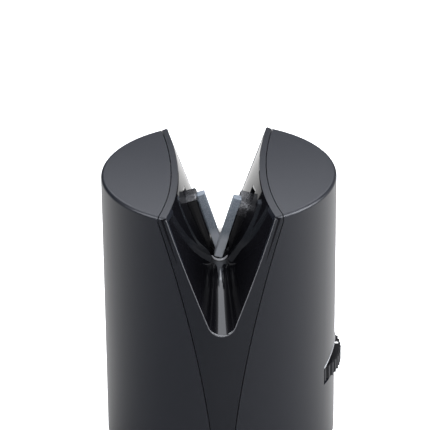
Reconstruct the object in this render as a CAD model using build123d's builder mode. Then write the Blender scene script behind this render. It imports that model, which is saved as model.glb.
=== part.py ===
from build123d import *
from math import asin, atan2, cos, hypot, radians, sin, sqrt, tan
import os

# Round counter-top knife sharpener. Two sprung arms carry abrasive sticks that cross in a
# V trough, and a thumbwheel on the right sets the angle at which the arms rest.
# Millimetres, +Z up. The origin is the centre of the foot pad's underside. The blade is drawn
# along Y through the trough, and negative Y is the front.

os.makedirs("parts", exist_ok=True)

# Casing
body_diameter = 84.0
body_height = 108.0
shell_wall = 2.2
top_thickness = 1.8
rim_round = 1.3
seam_gap = 0.3
seat_gap = 0.05

# Underside
pad_margin = 0.8
pad_thickness = 2.0
pad_recess = 1.0
base_plate_inset = 0.6
base_plate_thickness = 3.5
floor_thickness = 3.0

# Seams between the shells and the frame
band_width = 2.3
band_taper = 0.011
seam_corner_y = 36.4
seam_half_waist = 8.0
seam_waist_depth = 57.2
seam_half_foot = 2.2
frame_skin = 1.8
lip_width = 1.5
lip_thickness = 1.2
lip_depth = 18.0

# Trough
trough_waist_half = 14.5
trough_waist_y = -4.0
front_flare_radius = 120.0
rear_flare_radius = 211.0
trough_depth_middle = 33.0
trough_depth_end = 44.2
trough_root_middle = 3.0
trough_root_end = 5.2
trough_bulge = 0.9
trough_overrun = 3.0
seam_overrun = 1.0
liner_wall = 1.8
slot_margin = 0.3
slot_corner = 1.5
slot_clearance = 0.9
keel_thickness = 2.6
keel_start = 15.5
keel_end = 36.0

# Arms, in their own frame: X outwards, Y up along the arm, Z towards the arm's own layer
arm_angle = 17.2
pivot_depth = 46.4
arm_inner = 3.5
arm_outer = 4.2
arm_depth = 8.0
arm_seam_height = 38.55
arm_foot_height = 16.7
arm_chamfer_height = 23.0
arm_chamfer_width = 1.8
arm_edge_round = 0.7
cap_rise = 0.95
cap_bevel = 0.6
cap_shoulder = 4.8
cap_seam_drop = 4.9
cap_gap = 0.08
layer_gap = 0.2
eye_radius = 5.0
heel_length = 8.6

# Abrasive sticks
stick_thickness = 3.0
stick_depth = 3.4
stick_channel = 0.4
stick_foot_height = 13.0
stick_top_height = 37.4
stick_chamfer = 0.25
stick_seat_drop = 3.4

# Pivot
pin_radius = 2.0
pin_overhang = 0.7
pin_groove = 0.5
running_gap = 0.05
washer_radius = 4.6
washer_play = 0.05
spacer_wall = 0.8
lever_gap = 0.3
lever_thickness = 1.7
pillar_start = 9.3
pillar_thickness = 3.2
pillar_half_width = 6.0
clip_thickness = 0.8
clip_gap = 0.2
clip_width = 1.8

# Levers and the lift yoke
peg_offset = 10.0
peg_radius = 1.5
tail_margin = 2.6
fork_play = 0.45
lug_height = 3.1
lug_width = 2.6
lug_gap = 0.08
lug_reach = 3.7
yoke_lift_gap = 1.6
yoke_bar_thickness = 2.8
yoke_bar_half_depth = 3.4
yoke_upright_width = 4.4
yoke_upright_margin = 3.0
left_guide_x = -21.0
right_guide_offset = 9.6
guide_margin = 3.0
guide_radius = 1.5
guide_height = 12.0
nut_radius = 5.0
nut_boss_radius = 6.6
nut_boss_height = 5.6

# Springs
spring_radius = 3.7
spring_wire = 0.9
spring_turns = 1
spring_pitch = 1.08
spring_tail_leg = 6.5
spring_heel_leg = 7.0
spring_bend = 1.0
spring_gap = 0.15

# Thumbwheel and its shaft
wheel_radius = 27.0
wheel_stand_out = 2.4
wheel_drop = 11.5
wheel_thickness = 5.1
wheel_teeth = 66
tooth_depth = 0.7
wheel_web = 2.4
wheel_rim = 5.0
wheel_hub_radius = 8.0
wheel_hub_drop = 0.8
wheel_clearance = 0.8
pocket_rise = 4.4
pocket_lean = 3.4
hood_wall = 1.0
hood_reach = 20.0
hood_start = 30.0
shaft_radius = 3.0
shaft_bottom = 9.0
shaft_overrun = 3.8
shaft_end_chamfer = 0.5
collar_radius = 4.3
collar_gap = 0.3
bush_wall = 1.5
lower_bush_length = 12.0
hub_gap = 0.2
shaft_pocket_gap = 0.3
bush_flange = 1.0
bush_flange_width = 2.0
mark_diameter = 1.5
mark_depth = 0.5
mark_inset = 1.5
mark_angle = 3.0

# Chassis and deck
chassis_gap = 0.4
deck_drop = 18.6
deck_thickness = 3.0
column_radius = 3.5
column_inset = 5.35
column_bearings = [76.5, 114.0, 180.0, 246.0, 283.5]
shaft_boss_radius = 8.0
click_post_gap = 2.4
click_post_y = -8.5
click_post_size = (3.4, 7.0)
click_leaf = 0.5
click_leaf_height = 5.0
click_gap = 0.25
click_nose_reach = 2.0
click_screw_radius = 1.0
click_head_radius = 1.9
click_head = 1.2
click_screw_length = 4.6

# Screws
screw_radius = 1.5
screw_head_radius = 2.7
screw_head = 1.6
screw_length = 12.0
screw_clearance = 0.05
screw_recess = 0.3
socket_radius = 1.2
socket_depth = 0.8
boss_radius = 3.0
boss_inset = 4.3
boss_bearing = 50.0
boss_drop = 5.5
frame_boss_inset = 3.1
liner_screw_reach = 21.0

# Heights, from the foot up
plate_bottom = pad_thickness - pad_recess
shell_bottom = plate_bottom + base_plate_thickness
floor_top = shell_bottom + floor_thickness
base_screw_seat = plate_bottom + screw_head + screw_recess
plate_underside = body_height - top_thickness
pivot_height = body_height - pivot_depth
deck_bottom = pivot_height - deck_drop
deck_top = deck_bottom + deck_thickness
yoke_bottom = deck_top + yoke_lift_gap
upright_top = pivot_height + yoke_upright_margin
guide_top = deck_top + guide_height
shaft_top = yoke_bottom + nut_boss_height + shaft_overrun
wheel_bottom = deck_bottom - wheel_drop
wheel_top = wheel_bottom + wheel_thickness
boss_top = wheel_bottom - boss_drop
hub_bottom = wheel_bottom - wheel_hub_drop
shaft_boss_top = hub_bottom - hub_gap - bush_flange
pocket_wall_top = wheel_top + wheel_clearance
pocket_top = pocket_wall_top + pocket_rise
lean = radians(arm_angle)
arm_top = arm_seam_height + cap_rise
slot_top = pivot_height + arm_top * cos(lean) + slot_margin

# Radii and places in plan
body_radius = body_diameter / 2
inner_radius = body_radius - shell_wall
wheel_x = body_radius + wheel_stand_out - wheel_radius
pocket_radius = wheel_radius + wheel_clearance
bush_radius = shaft_radius + running_gap + bush_wall
boss_reach = inner_radius - boss_inset
frame_boss_reach = inner_radius - frame_boss_inset
column_reach = inner_radius - column_inset
pad_radius = boss_reach - screw_head_radius - pad_margin
bearings = [boss_bearing, 180 - boss_bearing, 180 + boss_bearing, -boss_bearing]
boss_spots = [(boss_reach * cos(radians(a)), boss_reach * sin(radians(a))) for a in bearings]
column_spots = [
    (column_reach * cos(radians(a)), column_reach * sin(radians(a))) for a in column_bearings
]
frame_boss_spots = [(0.0, frame_boss_reach), (0.0, -frame_boss_reach)]
liner_screw_spots = [(0.0, liner_screw_reach), (0.0, -liner_screw_reach)]
guide_spots = [(left_guide_x, 0.0), (wheel_x + right_guide_offset, 0.0)]

# Layers along the pivot pin, outwards from its middle
arm_width = arm_inner + arm_outer
half_depth = arm_depth / 2
slot_half = half_depth + slot_clearance
lever_start = half_depth + lever_gap
lever_end = lever_start + lever_thickness
spring_start = lever_end + spring_gap + spring_wire / 2
pillar_end = pillar_start + pillar_thickness
clip_start = pillar_end + clip_gap
clip_end = clip_start + clip_thickness
pin_end = clip_end + pin_overhang
heel_half = spring_radius - spring_wire / 2 - running_gap
lug_start = heel_half + lug_gap
stick_inner = stick_channel - arm_inner - stick_thickness


# The trough: V sections with slightly bowed walls, narrowest just in front of the middle
def trough_half(y):
    """Half width of the trough at the rim."""
    flare_radius = front_flare_radius if y < trough_waist_y else rear_flare_radius
    return trough_waist_half + (y - trough_waist_y) ** 2 / (2 * flare_radius)


def seam_half(y):
    """Half width between the two seams of the flat top."""
    return trough_half(y) + band_width - band_taper * y


def trough_form(growth):
    """Solid that fills the trough, grown outwards by growth on every wall."""
    reach = body_radius + trough_overrun
    with BuildPart() as form:
        for y in (-reach, -reach / 2, trough_waist_y, reach / 2, reach):
            share = (y / body_radius) ** 2
            half = trough_half(y)
            root = trough_root_middle + (trough_root_end - trough_root_middle) * share
            depth = trough_depth_middle + (trough_depth_end - trough_depth_middle) * share - root
            slope = atan2(half, depth) - asin(root / hypot(half, depth))
            bulge = trough_bulge * (1 - share) + growth
            grown = root + growth
            rim = half + growth / cos(slope)
            side = rim + trough_overrun * tan(slope)
            touch_x = grown * cos(slope)
            touch_z = body_height - depth - grown * sin(slope)
            middle_x = (root * cos(slope) + half) / 2 + bulge * cos(slope)
            middle_z = body_height - (depth + root * sin(slope)) / 2 - bulge * sin(slope)
            above = body_height + trough_overrun
            with BuildSketch(Plane.XZ.offset(-y)):
                with BuildLine():
                    Line((-side, above), (side, above))
                    Line((side, above), (rim, body_height))
                    ThreePointArc((rim, body_height), (middle_x, middle_z), (touch_x, touch_z))
                    ThreePointArc(
                        (touch_x, touch_z), (0, body_height - depth - grown), (-touch_x, touch_z)
                    )
                    ThreePointArc((-touch_x, touch_z), (-middle_x, middle_z), (-rim, body_height))
                    Line((-rim, body_height), (-side, above))
                make_face()
        loft()
    return form.part


def seam_zone_front(growth):
    """Region between the seams of the front and the rear, each run inwards along Y."""
    corner_z = plate_underside
    waist_z = body_height - seam_waist_depth
    with BuildPart() as zone:
        for end in (-1, 1):
            corner_x = seam_half(end * seam_corner_y) + growth
            with BuildSketch(Plane.XZ.offset(-end * (body_radius + seam_overrun))):
                with BuildLine():
                    ThreePointArc(
                        (corner_x, corner_z),
                        (seam_half_waist + growth, waist_z),
                        (seam_half_foot + growth, shell_bottom),
                    )
                    Line(
                        (seam_half_foot + growth, shell_bottom),
                        (-seam_half_foot - growth, shell_bottom),
                    )
                    ThreePointArc(
                        (-seam_half_foot - growth, shell_bottom),
                        (-seam_half_waist - growth, waist_z),
                        (-corner_x, corner_z),
                    )
                    Line((-corner_x, corner_z), (corner_x, corner_z))
                make_face()
            extrude(amount=end * (body_radius + seam_overrun))
    return zone.part


def seam_zone_top(growth):
    """Region between the two curved seams of the flat top."""
    stations = [-seam_corner_y, -seam_corner_y / 2, trough_waist_y, seam_corner_y / 2, seam_corner_y]
    right_seam = [(seam_half(y) + growth, y) for y in stations]
    left_seam = [(-x, y) for x, y in reversed(right_seam)]
    past = body_radius + seam_overrun
    with BuildPart() as zone:
        with BuildSketch(Plane.XY.offset(plate_underside)):
            with BuildLine():
                Spline(*right_seam)
                Polyline(right_seam[-1], (right_seam[-1][0], past), (left_seam[0][0], past), left_seam[0])
                Spline(*left_seam)
                Polyline(
                    left_seam[-1], (left_seam[-1][0], -past), (right_seam[0][0], -past), right_seam[0]
                )
            make_face()
        extrude(amount=top_thickness)
    return zone.part


trough = trough_form(0.0)
trough_outside = trough_form(liner_wall)

with BuildPart() as casing_wall:
    with BuildSketch(Plane.XY.offset(shell_bottom)):
        Circle(body_radius)
        Circle(inner_radius, mode=Mode.SUBTRACT)
    extrude(amount=plate_underside - shell_bottom)

with BuildPart() as casing_top:
    with BuildSketch(Plane.XY.offset(plate_underside)):
        Circle(body_radius)
    extrude(amount=top_thickness)
    fillet(casing_top.edges().sort_by(Axis.Z)[-1], radius=rim_round)


# Thumb scoop: the wheel's own clearance with a cone above it, and the hood that closes the cone
hood_x = wheel_x + hood_reach
rim_x = wheel_x + pocket_radius
with BuildPart() as wheel_pocket:
    with BuildSketch(Plane.XZ):
        with BuildLine():
            Polyline(
                (wheel_x, wheel_bottom - wheel_clearance),
                (rim_x, wheel_bottom - wheel_clearance),
                (rim_x, pocket_wall_top),
                (rim_x - pocket_lean, pocket_top),
                (hood_x, pocket_top),
                (hood_x, pocket_wall_top),
                (wheel_x, pocket_wall_top),
                close=True,
            )
        make_face()
    revolve(axis=Axis((wheel_x, 0, 0), (0, 0, 1)))

with BuildPart() as wheel_hood:
    with BuildSketch(Plane.XZ):
        with BuildLine():
            Polyline(
                (hood_x - hood_wall, pocket_wall_top),
                (rim_x + hood_wall, pocket_wall_top),
                (rim_x - pocket_lean + hood_wall, pocket_top + hood_wall),
                (hood_x - hood_wall, pocket_top + hood_wall),
                close=True,
            )
        make_face()
    revolve(axis=Axis((wheel_x, 0, 0), (0, 0, 1)))
    with BuildSketch(Plane.XY.offset(pocket_wall_top)):
        Circle(inner_radius + shell_wall / 2)
        with Locations((hood_start, 0)):
            Rectangle(body_radius, body_diameter, align=(Align.MIN, Align.CENTER), mode=Mode.INTERSECT)
    extrude(amount=pocket_rise + hood_wall, mode=Mode.INTERSECT)


# Shells: half casings with their screw bosses, the right one cut for the thumbwheel
with BuildPart() as shell_tops:
    add(casing_top.part)
    add(seam_zone_top(seam_gap), mode=Mode.SUBTRACT)

with BuildPart() as shells:
    add(casing_wall.part)
    add(seam_zone_front(seam_gap), mode=Mode.SUBTRACT)
    add(shell_tops.part)
    with BuildSketch(Plane.XY.offset(floor_top)):
        for bearing in bearings:
            with PolarLocations(boss_reach, 1, start_angle=bearing):
                Circle(boss_radius)
                Rectangle(
                    inner_radius - boss_reach + shell_wall / 2,
                    boss_radius,
                    align=(Align.MIN, Align.CENTER),
                )
    extrude(amount=boss_top - floor_top)
    with BuildSketch(Plane.XY.offset(floor_top)):
        with Locations(*boss_spots):
            Circle(screw_radius + screw_clearance)
    extrude(amount=screw_length, mode=Mode.SUBTRACT)

for name, keep in (("left_shell", Keep.BOTTOM), ("right_shell", Keep.TOP)):
    with BuildPart() as shell:
        add(shells.part)
        split(bisect_by=Plane.YZ, keep=keep)
        if name == "right_shell":
            add(wheel_hood.part)
            add(wheel_pocket.part, mode=Mode.SUBTRACT)
    shell.part.label = name
    export_step(shell.part, f"parts/{name}.step")


# Frame: Y-shaped shields front and rear with a lip behind the seams, joined by two top bands
with BuildPart() as frame_lip:
    with BuildSketch(Plane.XY.offset(floor_top)):
        Circle(inner_radius - seat_gap)
        Circle(inner_radius - lip_thickness, mode=Mode.SUBTRACT)
    extrude(amount=body_height - lip_depth - floor_top)
    add(seam_zone_front(lip_width), mode=Mode.INTERSECT)

with BuildPart() as frame_bands:
    add(casing_top.part)
    add(seam_zone_top(0.0), mode=Mode.INTERSECT)

with BuildPart() as liner_seat:
    add(trough_form(liner_wall + seat_gap))
    with BuildSketch(Plane.XY.offset(shell_bottom)):
        Circle(body_radius - frame_skin)
    extrude(amount=plate_underside - shell_bottom, mode=Mode.INTERSECT)

with BuildPart() as v_frame:
    with BuildSketch(Plane.XY.offset(shell_bottom)):
        Circle(body_radius)
        Circle(inner_radius - lip_thickness, mode=Mode.SUBTRACT)
    extrude(amount=plate_underside - shell_bottom)
    with BuildSketch(Plane.XY.offset(shell_bottom)):
        Circle(inner_radius)
    extrude(amount=floor_thickness, mode=Mode.SUBTRACT)
    add(seam_zone_front(0.0), mode=Mode.INTERSECT)
    add(frame_bands.part)
    add(frame_lip.part)
    add(liner_seat.part, mode=Mode.SUBTRACT)
    add(trough, mode=Mode.SUBTRACT)
    with BuildSketch(Plane.XY.offset(floor_top)):
        with Locations(*frame_boss_spots):
            Circle(boss_radius)
    extrude(amount=boss_top - floor_top)
    with BuildSketch(Plane.XY.offset(floor_top)):
        with Locations(*frame_boss_spots):
            Circle(screw_radius + screw_clearance)
    extrude(amount=screw_length, mode=Mode.SUBTRACT)
v_frame.part.label = "v_frame"
export_step(v_frame.part, "parts/v_frame.step")


# Liner: the trough's own moulding, with the arms' slot, a keel at each end and screw bosses
with BuildPart() as v_liner:
    add(trough_outside)
    with BuildSketch(Plane.XY.offset(deck_top)):
        for end in (-1, 1):
            with Locations((0, end * (keel_start + keel_end) / 2)):
                Rectangle(keel_thickness, keel_end - keel_start)
        with Locations(*liner_screw_spots):
            Circle(boss_radius)
    extrude(amount=plate_underside - deck_top)
    with BuildSketch(Plane.XY.offset(deck_top)):
        Circle(body_radius - frame_skin - seat_gap)
    extrude(amount=plate_underside - seat_gap - deck_top, mode=Mode.INTERSECT)
    add(trough, mode=Mode.SUBTRACT)
    with BuildSketch(Plane.YZ):
        with Locations((0, (deck_top + slot_top) / 2)):
            RectangleRounded(2 * slot_half, slot_top - deck_top, slot_corner)
    extrude(amount=body_radius, both=True, mode=Mode.SUBTRACT)
    with BuildSketch(Plane.XY.offset(deck_top)):
        with Locations(*liner_screw_spots):
            Circle(screw_radius + screw_clearance)
    extrude(amount=screw_length, mode=Mode.SUBTRACT)
v_liner.part.label = "v_liner"
export_step(v_liner.part, "parts/v_liner.step")


# Arms, levers and springs: each side is the other one turned half round about the vertical axis
def lever_plane(side):
    """Upright plane at the pivot: X outwards, Y up, Z towards the side's own layer."""
    return Plane(origin=(0, 0, pivot_height), x_dir=(side, 0, 0), z_dir=(0, -side, 0))


def arm_plane(side):
    """The lever plane leant outwards, so that Y runs up along the arm."""
    return Plane(
        origin=(0, 0, pivot_height),
        x_dir=(side * cos(lean), 0, -sin(lean)),
        z_dir=(0, -side, 0),
    )


def arm_side_plane(side):
    """Plane through the arm's axis: X towards the arm's own layer, Y up along the arm."""
    return Plane(
        origin=(0, 0, pivot_height),
        x_dir=(0, -side, 0),
        z_dir=(-side * cos(lean), 0, sin(lean)),
    )


def head_profile(side):
    """Side view of an arm above its foot: bevelled on one side, round-shouldered on the other."""
    with BuildSketch(arm_side_plane(side)) as profile:
        with Locations((0, arm_foot_height)):
            Rectangle(
                arm_depth,
                arm_top - arm_foot_height,
                align=(Align.CENTER, Align.MIN),
            )
        fillet(profile.vertices().group_by(Axis.Y)[-1].sort_by(Axis.X)[-1], radius=cap_shoulder)
        chamfer(profile.vertices().group_by(Axis.Y)[-1].sort_by(Axis.X)[0], length=cap_bevel)
    return profile.sketch


def cap_zone(side, lift):
    """Side view of the region above the slanted seam between an arm and its cap."""
    with BuildSketch(arm_side_plane(side)) as zone:
        with BuildLine():
            Polyline(
                (-arm_depth, arm_seam_height + lift + cap_seam_drop / 2),
                (arm_depth, arm_seam_height + lift - 1.5 * cap_seam_drop),
                (arm_depth, arm_seam_height + arm_depth),
                (-arm_depth, arm_seam_height + arm_depth),
                close=True,
            )
        make_face()
    return zone.sketch


def channel_profile(side, foot):
    """Section of the stick's channel, open upwards from foot."""
    with BuildSketch(arm_plane(side).offset(layer_gap - running_gap)) as profile:
        with Locations((stick_inner, foot)):
            Rectangle(
                stick_thickness + running_gap,
                arm_seam_height,
                align=(Align.MIN, Align.MIN),
            )
    return profile.sketch


for name, side in (("left", -1), ("right", 1)):
    along_arm = Axis((0, 0, 0), arm_plane(side).y_dir)

    # Arm: a full-depth grip, and below it one layer that runs down to the pivot eye and the heel
    with BuildPart() as arm:
        with BuildSketch(arm_plane(side)):
            with BuildLine():
                Polyline(
                    (-arm_inner, arm_top),
                    (-arm_inner, arm_chamfer_height),
                    (arm_chamfer_width - arm_inner, arm_foot_height),
                    (arm_outer, arm_foot_height),
                    (arm_outer, arm_top),
                    close=True,
                )
            make_face()
        extrude(amount=half_depth, both=True)
        fillet(arm.edges().filter_by(along_arm), radius=arm_edge_round)
        extrude(head_profile(side), amount=arm_width, both=True, mode=Mode.INTERSECT)
        extrude(cap_zone(side, 0.0), amount=arm_width, both=True, mode=Mode.SUBTRACT)
        with BuildSketch(arm_plane(side).offset(layer_gap)):
            with BuildLine():
                Polyline(
                    (-arm_inner, arm_foot_height + arm_width),
                    (-arm_inner, stick_foot_height - cap_gap),
                    (stick_inner, stick_foot_height - cap_gap),
                    (stick_inner, stick_foot_height - stick_seat_drop),
                    (-arm_inner, eye_radius + stick_seat_drop),
                    (-arm_inner, 0),
                    (arm_outer, 0),
                    (arm_outer, arm_foot_height + arm_width),
                    close=True,
                )
            make_face()
            Circle(eye_radius)
            with Locations((0, -heel_length / 2)):
                Rectangle(2 * heel_half, heel_length)
        extrude(amount=half_depth - layer_gap)
        extrude(
            channel_profile(side, stick_foot_height - cap_gap),
            amount=stick_depth + 2 * running_gap,
            mode=Mode.SUBTRACT,
        )
        with BuildSketch(arm_plane(side)):
            Circle(pin_radius + running_gap)
        extrude(amount=half_depth, both=True, mode=Mode.SUBTRACT)
    arm.part.label = f"{name}_arm"
    export_step(arm.part, f"parts/{name}_arm.step")

    # Cap: the grained end of the arm, parted from it by a slanted seam
    with BuildPart() as cap:
        with BuildSketch(arm_plane(side)):
            with Locations((-arm_inner, arm_seam_height)):
                Rectangle(arm_width, 4 * cap_shoulder, align=(Align.MIN, Align.CENTER))
        extrude(amount=half_depth, both=True)
        fillet(cap.edges().filter_by(along_arm), radius=arm_edge_round)
        extrude(head_profile(side), amount=arm_width, both=True, mode=Mode.INTERSECT)
        extrude(cap_zone(side, cap_gap), amount=arm_width, both=True, mode=Mode.INTERSECT)
        extrude(
            channel_profile(side, stick_foot_height),
            amount=stick_depth + 2 * running_gap,
            mode=Mode.SUBTRACT,
        )
    cap.part.label = f"{name}_arm_cap"
    export_step(cap.part, f"parts/{name}_arm_cap.step")

    # Abrasive stick: a square bar in the arm's channel, standing on the arm's shoulder
    with BuildPart() as stick:
        with BuildSketch(arm_plane(side).offset(layer_gap)):
            with Locations((stick_inner, stick_foot_height)):
                Rectangle(
                    stick_thickness,
                    stick_top_height - stick_foot_height,
                    align=(Align.MIN, Align.MIN),
                )
        extrude(amount=stick_depth)
        chamfer(stick.edges(), length=stick_chamfer)
    stick.part.label = f"{name}_stick"
    export_step(stick.part, f"parts/{name}_stick.step")

    # Lever: an eye on the pin, a forked tail for the peg, and a lug outside the arm's heel
    with BuildPart() as lever:
        with BuildSketch(arm_plane(side).offset(lever_start)):
            Circle(eye_radius)
            with Locations((lug_start, -heel_length)):
                Rectangle(lug_width, lug_height, align=(Align.MIN, Align.MIN))
            make_hull()
        extrude(amount=lever_thickness)
        with BuildSketch(arm_plane(side).offset(lever_start - lug_reach)):
            with Locations((lug_start, -heel_length)):
                Rectangle(lug_width, lug_height, align=(Align.MIN, Align.MIN))
        extrude(amount=lug_reach)
        with BuildSketch(lever_plane(side).offset(lever_start)):
            Rectangle(peg_offset + tail_margin, 2 * heel_half, align=(Align.MAX, Align.CENTER))
        extrude(amount=lever_thickness)
        with BuildSketch(lever_plane(side).offset(lever_start)):
            with Locations((fork_play - peg_offset, 0)):
                Circle(peg_radius + running_gap)
                Rectangle(peg_offset, 2 * (peg_radius + running_gap), align=(Align.MAX, Align.CENTER))
        extrude(amount=lever_thickness, mode=Mode.SUBTRACT)
        with BuildSketch(lever_plane(side).offset(lever_start)):
            Circle(pin_radius + running_gap)
        extrude(amount=lever_thickness, mode=Mode.SUBTRACT)
    lever.part.label = f"{name}_lever"
    export_step(lever.part, f"parts/{name}_lever.step")

    # Torsion spring: one leg under the lever's tail, the other inside the arm's heel
    with BuildPart() as spring:
        with BuildLine() as wire:
            coil = Helix(
                pitch=spring_pitch,
                height=spring_pitch * (spring_turns + (270 - arm_angle) / 360),
                radius=spring_radius,
            )
            tail_bend = coil @ 0 - (coil % 0) * spring_tail_leg
            heel_bend = coil @ 1 + (coil % 1) * spring_heel_leg
            FilletPolyline(
                (tail_bend.X, tail_bend.Y, lever_start - spring_start),
                tail_bend,
                coil @ 0,
                radius=spring_bend,
            )
            FilletPolyline(
                coil @ 1,
                heel_bend,
                (heel_bend.X, heel_bend.Y, lever_start - lug_reach - spring_start),
                radius=spring_bend,
            )
        with BuildSketch(Plane(origin=wire.wires()[0] @ 0, z_dir=wire.wires()[0] % 0)):
            Circle(spring_wire / 2)
        sweep(path=wire.wires()[0])
    spring_place = Plane(
        origin=(0, -side * spring_start, pivot_height), x_dir=(0, 0, -1), z_dir=(0, -side, 0)
    )
    placed_spring = spring_place.location * spring.part
    placed_spring.label = f"{name}_spring"
    export_step(placed_spring, f"parts/{name}_spring.step")


# Pivot: a grooved pin with washers between the layers, spring spacers and two clips
with BuildPart() as pivot_pin:
    with BuildSketch(Plane.XZ):
        Circle(pin_radius)
    extrude(amount=pin_end, both=True)
    for end in (-1, 1):
        with BuildSketch(Plane.XZ.offset(end * (clip_start + clip_thickness / 2))):
            Circle(pin_radius)
            Circle(pin_radius - pin_groove, mode=Mode.SUBTRACT)
        extrude(amount=clip_thickness / 2 + running_gap, both=True, mode=Mode.SUBTRACT)
    chamfer(pivot_pin.edges().group_by(Axis.Y)[0], length=pin_overhang / 3)
    chamfer(pivot_pin.edges().group_by(Axis.Y)[-1], length=pin_overhang / 3)
pivot_pin_part = Pos(0, 0, pivot_height) * pivot_pin.part
pivot_pin_part.label = "pivot_pin"
export_step(pivot_pin_part, "parts/pivot_pin.step")

with BuildPart() as pivot_washers:
    for start, end in (
        (washer_play - layer_gap, layer_gap - washer_play),
        (half_depth + washer_play, lever_start - washer_play),
        (washer_play - lever_start, -half_depth - washer_play),
    ):
        with BuildSketch(Plane(origin=(0, start, pivot_height), x_dir=(1, 0, 0), z_dir=(0, 1, 0))):
            Circle(washer_radius)
            Circle(pin_radius + running_gap, mode=Mode.SUBTRACT)
        extrude(amount=end - start)
pivot_washers.part.label = "pivot_washers"
export_step(pivot_washers.part, "parts/pivot_washers.step")

with BuildPart() as pin_spacers:
    for side in (-1, 1):
        with BuildSketch(lever_plane(side).offset(lever_end + washer_play)):
            Circle(pin_radius + running_gap + spacer_wall)
            Circle(pin_radius + running_gap, mode=Mode.SUBTRACT)
        extrude(amount=pillar_start - lever_end - 2 * washer_play)
pin_spacers.part.label = "pin_spacers"
export_step(pin_spacers.part, "parts/pin_spacers.step")

with BuildPart() as pin_clips:
    for side in (-1, 1):
        with BuildSketch(lever_plane(side).offset(clip_start)):
            Circle(pin_radius + clip_width)
            Circle(pin_radius - pin_groove + running_gap, mode=Mode.SUBTRACT)
            Rectangle(
                2 * (pin_radius - pin_groove),
                2 * (pin_radius + clip_width),
                align=(Align.CENTER, Align.MAX),
                mode=Mode.SUBTRACT,
            )
        extrude(amount=clip_thickness)
pin_clips.part.label = "pin_clips"
export_step(pin_clips.part, "parts/pin_clips.step")


# Lift yoke: a bar on two guide posts, with a nut boss on the shaft and an upright for each peg
with BuildPart() as lift_yoke:
    with BuildSketch(Plane.XY.offset(yoke_bottom)):
        with BuildLine():
            left = guide_spots[0][0] - guide_margin
            right = guide_spots[1][0] + guide_margin
            Polyline(
                (left, -yoke_bar_half_depth),
                (right, -yoke_bar_half_depth),
                (right, yoke_bar_half_depth),
                (left, yoke_bar_half_depth),
                close=True,
            )
        make_face()
    extrude(amount=yoke_bar_thickness)
    with BuildSketch(Plane.XY.offset(yoke_bottom)):
        with Locations((-peg_offset, 0), (peg_offset, 0)):
            Rectangle(yoke_upright_width, 2 * yoke_bar_half_depth)
    extrude(amount=upright_top - yoke_bottom)
    with BuildSketch(Plane.XY.offset(yoke_bottom)):
        with Locations((wheel_x, 0)):
            Circle(nut_boss_radius)
    extrude(amount=nut_boss_height)
    with BuildSketch(Plane.XY.offset(yoke_bottom)):
        with Locations((wheel_x, 0)):
            Circle(nut_radius)
        with Locations(*guide_spots):
            Circle(guide_radius + running_gap)
    extrude(amount=upright_top - yoke_bottom, mode=Mode.SUBTRACT)
    with BuildSketch(Plane.XZ.offset(-yoke_bar_half_depth)):
        with Locations((-peg_offset, pivot_height), (peg_offset, pivot_height)):
            Circle(peg_radius)
    extrude(amount=2 * yoke_bar_half_depth, mode=Mode.SUBTRACT)
lift_yoke.part.label = "lift_yoke"
export_step(lift_yoke.part, "parts/lift_yoke.step")

with BuildPart() as lift_pegs:
    for side in (-1, 1):
        with BuildSketch(lever_plane(side).offset(-yoke_bar_half_depth)):
            with Locations((-peg_offset, 0)):
                Circle(peg_radius)
        extrude(amount=yoke_bar_half_depth + lever_end + lever_gap)
lift_pegs.part.label = "lift_pegs"
export_step(lift_pegs.part, "parts/lift_pegs.step")

with BuildPart() as lift_nut:
    with BuildSketch(Plane.XY.offset(yoke_bottom)):
        with Locations((wheel_x, 0)):
            Circle(nut_radius)
            Circle(shaft_radius + running_gap, mode=Mode.SUBTRACT)
    extrude(amount=nut_boss_height)
lift_nut.part.label = "lift_nut"
export_step(lift_nut.part, "parts/lift_nut.step")

with BuildPart() as guide_posts:
    with BuildSketch(Plane.XY.offset(deck_bottom)):
        with Locations(*guide_spots):
            Circle(guide_radius)
    extrude(amount=guide_top - deck_bottom)
    chamfer(guide_posts.edges().group_by(Axis.Z)[-1], length=guide_radius / 4)
guide_posts.part.label = "guide_posts"
export_step(guide_posts.part, "parts/guide_posts.step")


# Thumbwheel: a fluted rim, a thin web and a hub, with a round mark let into its top face
with BuildPart() as angle_wheel:
    with BuildSketch(Plane.XY.offset(wheel_bottom)):
        with Locations((wheel_x, 0)):
            Circle(wheel_radius)
            with PolarLocations(wheel_radius + tooth_depth / 2, wheel_teeth):
                Circle(1.5 * tooth_depth, mode=Mode.SUBTRACT)
    extrude(amount=wheel_thickness)
    with BuildSketch(Plane.XY.offset(wheel_bottom)):
        with Locations((wheel_x, 0)):
            Circle(wheel_radius - wheel_rim)
    extrude(amount=wheel_thickness, mode=Mode.SUBTRACT)
    with BuildSketch(Plane.XY.offset(wheel_bottom + (wheel_thickness - wheel_web) / 2)):
        with Locations((wheel_x, 0)):
            Circle(wheel_radius - wheel_rim)
    extrude(amount=wheel_web)
    with BuildSketch(Plane.XY.offset(hub_bottom)):
        with Locations((wheel_x, 0)):
            Circle(wheel_hub_radius)
    extrude(amount=wheel_top - hub_bottom)
    with BuildSketch(Plane.XY.offset(hub_bottom)):
        with Locations((wheel_x, 0)):
            Circle(shaft_radius + running_gap)
    extrude(amount=wheel_top - hub_bottom, mode=Mode.SUBTRACT)
    with BuildSketch(Plane.XY.offset(wheel_top - mark_depth)):
        with Locations((wheel_x, 0)):
            with PolarLocations(wheel_radius - mark_inset, 1, start_angle=mark_angle):
                Circle(mark_diameter / 2)
    extrude(amount=mark_depth, mode=Mode.SUBTRACT)
angle_wheel.part.label = "angle_wheel"
export_step(angle_wheel.part, "parts/angle_wheel.step")

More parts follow.
